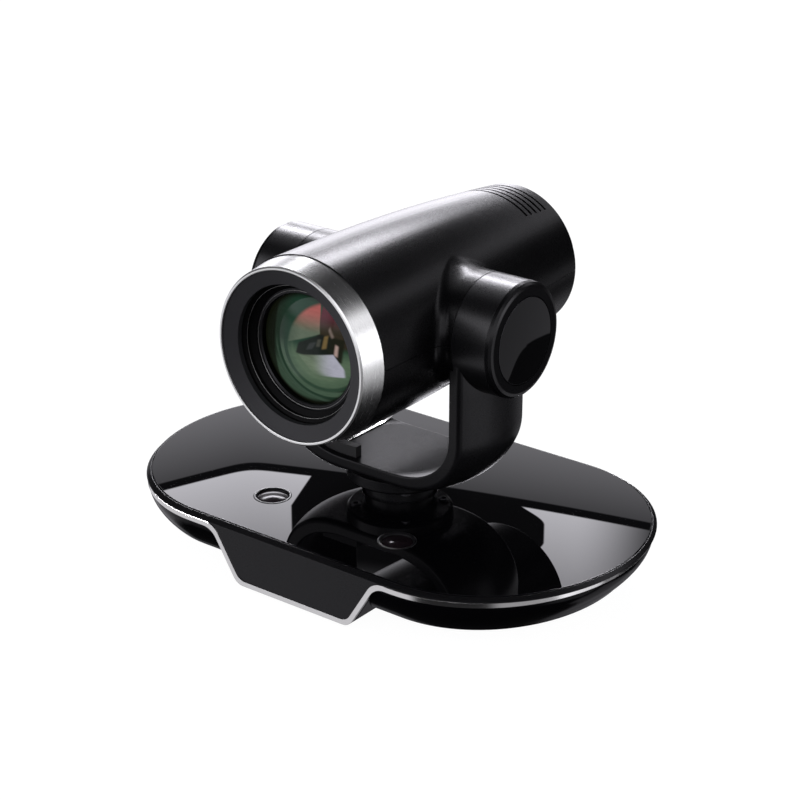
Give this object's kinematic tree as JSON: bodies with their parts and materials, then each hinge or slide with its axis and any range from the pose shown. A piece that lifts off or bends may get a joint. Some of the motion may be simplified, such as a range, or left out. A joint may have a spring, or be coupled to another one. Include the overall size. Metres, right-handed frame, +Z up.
{
  "type": "pan-tilt-zoom conference camera",
  "caption": "Round lens head tilting between the arms of a U-shaped yoke that pans on a wide, low oval-ended base with a glossy top, a metal trim strip and rear sockets.",
  "frame": {"origin": "on the pan axis, in the plane of the base's underside, at the mouth of the tripod thread", "axes": "+Z up, the lens looks along -Y at rest, +X is to the right of someone who faces the lens"},
  "size_m": [0.2668, 0.1771, 0.171],
  "materials": {
    "gloss_black": "polished piano black",
    "satin_black": "fine satin black",
    "head_black": "soft satin black",
    "trim_metal": "bright polished strip",
    "ring_metal": "circular brushed, polished front chamfer",
    "foot_rubber": "matt",
    "steel": "machined",
    "screw_steel": "black oxide",
    "brass": "turned",
    "gear_plastic": "natural acetal",
    "board_green": "solder mask",
    "board_parts": "moulded",
    "window_dark": "dark infrared filter",
    "optic_black": "anti-reflection black",
    "lens_glass": "coated",
    "sensor_glass": "coated cover glass",
    "alloy_black": "black anodised",
    "socket_metal": "tin plate"
  },
  "bodies": {
    "base": {"base_top_plate": "gloss_black", "base_upper_shell": "satin_black", "base_trim_strip": "trim_metal", "base_lower_shell": "gloss_black", "base_bottom_plate": "satin_black", "tripod_insert": "brass", "rubber_feet": "foot_rubber", "base_screws": "screw_steel", "window_ring_left": "satin_black", "window_ring_right": "satin_black", "window_lens_left": "window_dark", "window_lens_right": "window_dark", "chassis_plate": "steel", "pan_bearing": "steel", "pan_thrust_washer": "gear_plastic", "pan_motor": "steel", "main_board": "board_green", "rear_panel": "satin_black", "dc_jack": "board_parts", "control_socket": "board_parts", "network_socket": "socket_metal", "video_socket": "socket_metal"},
    "pan_pinion": {"pan_pinion": "steel"},
    "yoke": {"yoke_frame": "satin_black", "turntable": "satin_black", "pan_shaft": "steel", "pan_gear": "gear_plastic", "boss_cover_right": "satin_black", "boss_cover_left": "satin_black", "boss_cap_right": "gloss_black", "boss_cap_left": "gloss_black", "tilt_bearing_right": "steel", "tilt_bearing_left": "steel", "tilt_motor": "steel", "tilt_board": "board_green", "tilt_stop": "foot_rubber", "yoke_floor_trim": "trim_metal", "yoke_screws": "screw_steel"},
    "tilt_pinion": {"tilt_pinion": "steel"},
    "head": {"head_upper_shell": "head_black", "head_lower_shell": "head_black", "head_rear_cover": "head_black", "lens_ring": "ring_metal", "front_bezel": "optic_black", "lens_hood": "optic_black", "lens_retainer": "alloy_black", "front_lens": "lens_glass", "optic_tube": "alloy_black", "guide_rods": "steel", "sensor_block": "alloy_black", "image_sensor": "sensor_glass", "sensor_board": "board_green", "head_board": "board_green", "trunnion_right": "steel", "trunnion_left": "steel", "tilt_gear": "gear_plastic"},
    "zoom_group": {"zoom_cell": "alloy_black", "zoom_lens": "lens_glass"},
    "focus_group": {"focus_cell": "alloy_black", "focus_lens": "lens_glass"}
  },
  "joints": [
    {"name": "pan", "type": "hinge", "parent": "base", "child": "yoke", "pos_m": [0, 0, 0], "axis": [0, 0, 1], "range_deg": [-100, 100]},
    {"name": "pan_pinion_spin", "type": "hinge", "parent": "base", "child": "pan_pinion", "pos_m": [0, -0.0252, 0], "axis": [0, 0, 1], "range_deg": [-610, 610]},
    {"name": "tilt", "type": "hinge", "parent": "yoke", "child": "head", "pos_m": [0, 0, 0.1247], "axis": [1, 0, 0], "range_deg": [-30, 30]},
    {"name": "tilt_pinion_spin", "type": "hinge", "parent": "yoke", "child": "tilt_pinion", "pos_m": [0, 0, 0.1107], "axis": [1, 0, 0], "range_deg": [-125, 125]},
    {"name": "zoom", "type": "slide", "parent": "head", "child": "zoom_group", "axis": [0, 1, 0], "range_m": [-0.012, 0.016]},
    {"name": "focus", "type": "slide", "parent": "head", "child": "focus_group", "axis": [0, 1, 0], "range_m": [-0.004, 0.008]}
  ],
  "couplings": [
    {"joint": "pan_pinion_spin", "follows": "pan", "ratio": -6},
    {"joint": "tilt_pinion_spin", "follows": "tilt", "ratio": -4}
  ]
}
